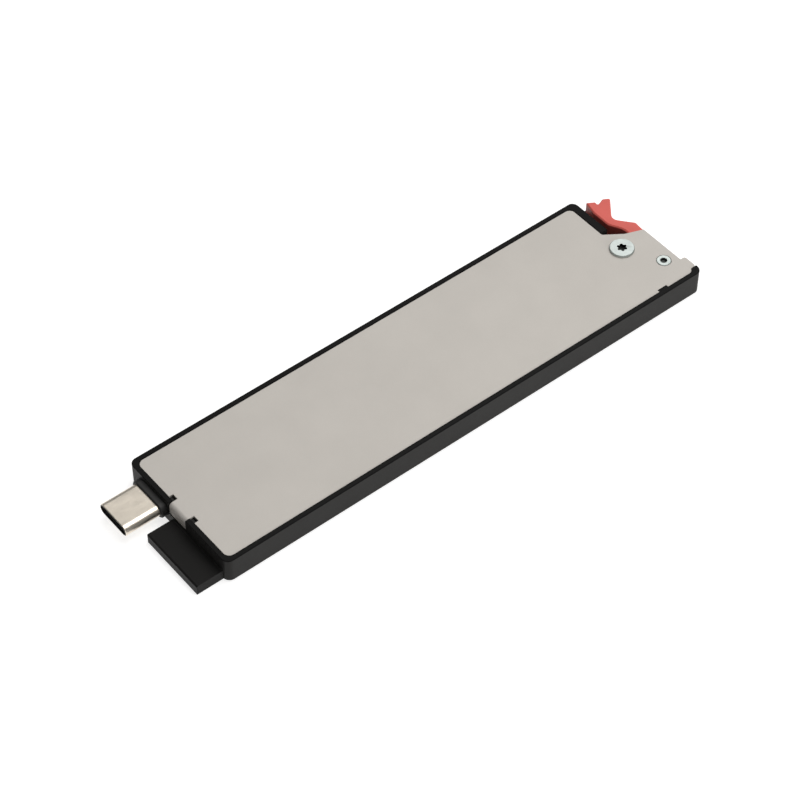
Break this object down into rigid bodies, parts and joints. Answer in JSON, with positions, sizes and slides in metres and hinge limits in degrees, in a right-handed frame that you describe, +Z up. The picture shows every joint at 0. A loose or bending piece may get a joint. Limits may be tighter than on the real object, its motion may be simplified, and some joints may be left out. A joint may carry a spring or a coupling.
{
  "type": "solid state drive canister",
  "caption": "Flat moulded tray with a folded metal cover, an offset plug and guide tongue at one end and a red pull lever that swings out at the other.",
  "frame": {"origin": "middle of the tray's flat underside, centred on the tray without its guide tongue", "axes": "+X along the tray to the lever's end, the plug points to -X; +Y to the plug's side; +Z up through the cover"},
  "size_m": [0.1231, 0.03, 0.0059],
  "materials": {
    "tray_plastic": "fine moulded texture, black",
    "cover_sheet": "bead blasted sheet, warm light grey",
    "bright_steel": "bright zinc plated",
    "insert_brass": "turned brass",
    "washer_plastic": "natural nylon",
    "lever_plastic": "red moulding, satin",
    "plug_nickel": "nickel plated",
    "collar_rubber": "black, matte",
    "insulator_plastic": "black moulding",
    "contact_gold": "gold plated",
    "board_resin": "green solder resist",
    "chip_resin": "moulded epoxy, bare",
    "capacitor_ceramic": "ceramic body",
    "pad_silicone": "soft grey-blue pad"
  },
  "bodies": {
    "canister": {"tray": "tray_plastic", "top_cover": "cover_sheet", "cover_screw": "bright_steel", "cover_screw_insert": "insert_brass", "pivot_pin": "bright_steel", "lever_washer": "washer_plastic", "plug_shell": "plug_nickel", "plug_collar": "collar_rubber", "plug_insulator": "insulator_plastic", "plug_contacts": "contact_gold", "plug_latch_plate": "plug_nickel", "adapter_board": "board_resin", "adapter_board_screws": "bright_steel", "bridge_chip": "chip_resin", "clock_crystal": "plug_nickel", "adapter_capacitors": "capacitor_ceramic", "module_socket": "insulator_plastic", "socket_contacts": "contact_gold", "drive_board": "board_resin", "drive_edge_contacts": "contact_gold", "controller_chip": "chip_resin", "memory_chip": "chip_resin", "flash_packages": "chip_resin", "power_chip": "chip_resin", "drive_capacitors": "capacitor_ceramic", "drive_screw": "bright_steel", "drive_screw_insert": "insert_brass", "thermal_pad": "pad_silicone"},
    "lever": {"latch_lever": "lever_plastic"}
  },
  "joints": [
    {"name": "lever_swing", "type": "hinge", "parent": "canister", "child": "lever", "pos_m": [0.0531, -0.0082, 0.00275], "axis": [0, 0, 1], "range_deg": [-90, 0]}
  ]
}
